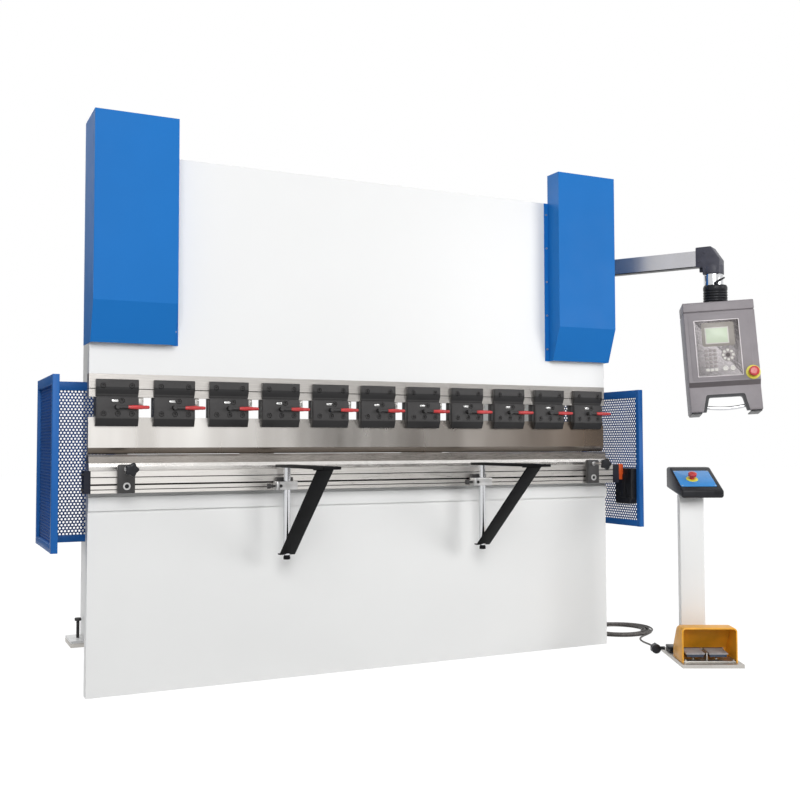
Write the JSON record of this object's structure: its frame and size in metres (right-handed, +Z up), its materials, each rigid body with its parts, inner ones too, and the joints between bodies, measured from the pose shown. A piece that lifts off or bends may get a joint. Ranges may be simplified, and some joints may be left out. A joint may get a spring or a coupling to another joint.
{
  "type": "hydraulic press brake",
  "caption": "Floor-standing hydraulic press brake with quick-clamped punch, sheet supports, side guards, swing-arm pendant and pedal stand.",
  "frame": {"origin": "middle of the bed plate on the floor, on the bending plane", "axes": "+X along the die to the right as the operator sees it, +Y away from the operator, +Z up"},
  "size_m": [3.2605, 1.9889, 2.305],
  "materials": {
    "blue_paint": "semi-gloss",
    "white_paint": "semi-gloss",
    "grey_paint": "satin",
    "black_paint": "satin",
    "ground_steel": "ground",
    "black_oxide": "black oxide, oiled",
    "bright_steel": "polished",
    "rail_aluminium": "satin",
    "grey_casting": "powder coated",
    "pendant_plastic": "fine texture",
    "black_plastic": "moulded",
    "red_plastic": "moulded",
    "hood_paint": "gloss",
    "cable_rubber": "matt"
  },
  "bodies": {
    "machine": {"bed_plate": "white_paint", "front_rail": "rail_aluminium", "rail_end_caps": "black_paint", "die_holder": "ground_steel", "die": "ground_steel", "side_frame_right": "white_paint", "side_frame_left": "white_paint", "levelling_feet": "ground_steel", "tie_beams": "white_paint", "cylinders": "grey_paint", "oil_tank": "white_paint", "pump_motor": "grey_paint", "back_gauge": "ground_steel", "guard_right": "blue_paint", "guard_left": "blue_paint", "guard_switch": "black_plastic", "control_cabinet": "white_paint", "arm_bracket": "grey_casting", "stand_base_plate": "ground_steel", "stand_post": "white_paint", "stand_head": "black_plastic", "pedal_hood": "hood_paint", "cable_glands": "black_plastic", "cable_lead_stand": "cable_rubber", "cable_lead_wall": "cable_rubber", "cable_coil": "cable_rubber"},
    "ram": {"ram_plate": "white_paint", "punch": "ground_steel", "clamp_plates": "black_oxide", "clamp_blocks": "black_oxide", "cover_right": "blue_paint", "cover_left": "blue_paint", "piston_rods": "bright_steel"},
    "left_carriage": {"support_carriage_left": "grey_paint"},
    "right_carriage": {"support_carriage_right": "grey_paint"},
    "left_support": {"support_arm_left": "black_paint"},
    "right_support": {"support_arm_right": "black_paint"},
    "left_stop": {"stop_block_left": "black_oxide"},
    "right_stop": {"stop_block_right": "black_oxide"},
    "arm": {"arm_bar": "ground_steel", "arm_elbow": "grey_casting"},
    "pendant": {"pendant_swivel": "black_plastic", "pendant_box": "pendant_plastic"},
    "pendant_stop": {"stop_button_pendant": "red_plastic"},
    "stand_stop": {"stop_button_stand": "red_plastic"},
    "left_pedal": {"pedal_left": "grey_paint"},
    "right_pedal": {"pedal_right": "grey_paint"},
    "lever_1": {"clamp_lever_1": "red_plastic"},
    "lever_2": {"clamp_lever_2": "red_plastic"},
    "lever_3": {"clamp_lever_3": "red_plastic"},
    "lever_4": {"clamp_lever_4": "red_plastic"},
    "lever_5": {"clamp_lever_5": "red_plastic"},
    "lever_6": {"clamp_lever_6": "red_plastic"},
    "lever_7": {"clamp_lever_7": "red_plastic"},
    "lever_8": {"clamp_lever_8": "red_plastic"},
    "lever_9": {"clamp_lever_9": "red_plastic"},
    "lever_10": {"clamp_lever_10": "red_plastic"},
    "lever_11": {"clamp_lever_11": "red_plastic"}
  },
  "joints": [
    {"name": "ram_slide", "type": "slide", "parent": "machine", "child": "ram", "axis": [0, 0, 1], "range_m": [0, 0.1]},
    {"name": "lever_turn_1", "type": "hinge", "parent": "ram", "child": "lever_1", "pos_m": [-1.1445, -0.0395, 1.138], "axis": [0, -1, 0], "range_deg": [0, 90]},
    {"name": "lever_turn_2", "type": "hinge", "parent": "ram", "child": "lever_2", "pos_m": [-0.9162, -0.0395, 1.138], "axis": [0, -1, 0], "range_deg": [0, 90]},
    {"name": "lever_turn_3", "type": "hinge", "parent": "ram", "child": "lever_3", "pos_m": [-0.6879, -0.0395, 1.138], "axis": [0, -1, 0], "range_deg": [0, 90]},
    {"name": "lever_turn_4", "type": "hinge", "parent": "ram", "child": "lever_4", "pos_m": [-0.4596, -0.0395, 1.138], "axis": [0, -1, 0], "range_deg": [0, 90]},
    {"name": "lever_turn_5", "type": "hinge", "parent": "ram", "child": "lever_5", "pos_m": [-0.2313, -0.0395, 1.138], "axis": [0, -1, 0], "range_deg": [0, 90]},
    {"name": "lever_turn_6", "type": "hinge", "parent": "ram", "child": "lever_6", "pos_m": [-0.003, -0.0395, 1.138], "axis": [0, -1, 0], "range_deg": [0, 90]},
    {"name": "lever_turn_7", "type": "hinge", "parent": "ram", "child": "lever_7", "pos_m": [0.2253, -0.0395, 1.138], "axis": [0, -1, 0], "range_deg": [0, 90]},
    {"name": "lever_turn_8", "type": "hinge", "parent": "ram", "child": "lever_8", "pos_m": [0.4536, -0.0395, 1.138], "axis": [0, -1, 0], "range_deg": [0, 90]},
    {"name": "lever_turn_9", "type": "hinge", "parent": "ram", "child": "lever_9", "pos_m": [0.6819, -0.0395, 1.138], "axis": [0, -1, 0], "range_deg": [0, 90]},
    {"name": "lever_turn_10", "type": "hinge", "parent": "ram", "child": "lever_10", "pos_m": [0.9102, -0.0395, 1.138], "axis": [0, -1, 0], "range_deg": [0, 90]},
    {"name": "lever_turn_11", "type": "hinge", "parent": "ram", "child": "lever_11", "pos_m": [1.1385, -0.0395, 1.138], "axis": [0, -1, 0], "range_deg": [0, 90]},
    {"name": "left_support_slide", "type": "slide", "parent": "machine", "child": "left_carriage", "axis": [1, 0, 0], "range_m": [-0.3, 0.3]},
    {"name": "left_support_lift", "type": "slide", "parent": "left_carriage", "child": "left_support", "axis": [0, 0, 1], "range_m": [-0.04, 0.05]},
    {"name": "left_stop_slide", "type": "slide", "parent": "machine", "child": "left_stop", "axis": [1, 0, 0], "range_m": [0, 0.15]},
    {"name": "right_support_slide", "type": "slide", "parent": "machine", "child": "right_carriage", "axis": [1, 0, 0], "range_m": [-0.3, 0.3]},
    {"name": "right_support_lift", "type": "slide", "parent": "right_carriage", "child": "right_support", "axis": [0, 0, 1], "range_m": [-0.04, 0.05]},
    {"name": "right_stop_slide", "type": "slide", "parent": "machine", "child": "right_stop", "axis": [1, 0, 0], "range_m": [-0.15, 0]},
    {"name": "arm_swing", "type": "hinge", "parent": "machine", "child": "arm", "pos_m": [1.16, 0.499, 1.943], "axis": [0, 0, 1], "range_deg": [-12, 60]},
    {"name": "pendant_turn", "type": "hinge", "parent": "arm", "child": "pendant", "pos_m": [1.6778, -0.34597, 1.822], "axis": [0, 0, 1], "range_deg": [-60, 60]},
    {"name": "pendant_stop_push", "type": "slide", "parent": "pendant", "child": "pendant_stop", "axis": [0.5598, 0.8178, -0.1338], "range_m": [0, 0.005]},
    {"name": "stand_stop_push", "type": "slide", "parent": "machine", "child": "stand_stop", "axis": [0.1875, 0.376, -0.9075], "range_m": [0, 0.005]},
    {"name": "left_pedal_press", "type": "hinge", "parent": "machine", "child": "left_pedal", "pos_m": [1.325, -0.53492, 0.056], "axis": [0.8949, -0.4462, 0], "range_deg": [0, 8], "stiffness_Nm_per_rad": 5, "springref_deg": -9.74},
    {"name": "right_pedal_press", "type": "hinge", "parent": "machine", "child": "right_pedal", "pos_m": [1.41629, -0.58043, 0.056], "axis": [0.8949, -0.4462, 0], "range_deg": [0, 8], "stiffness_Nm_per_rad": 5, "springref_deg": -9.74}
  ]
}
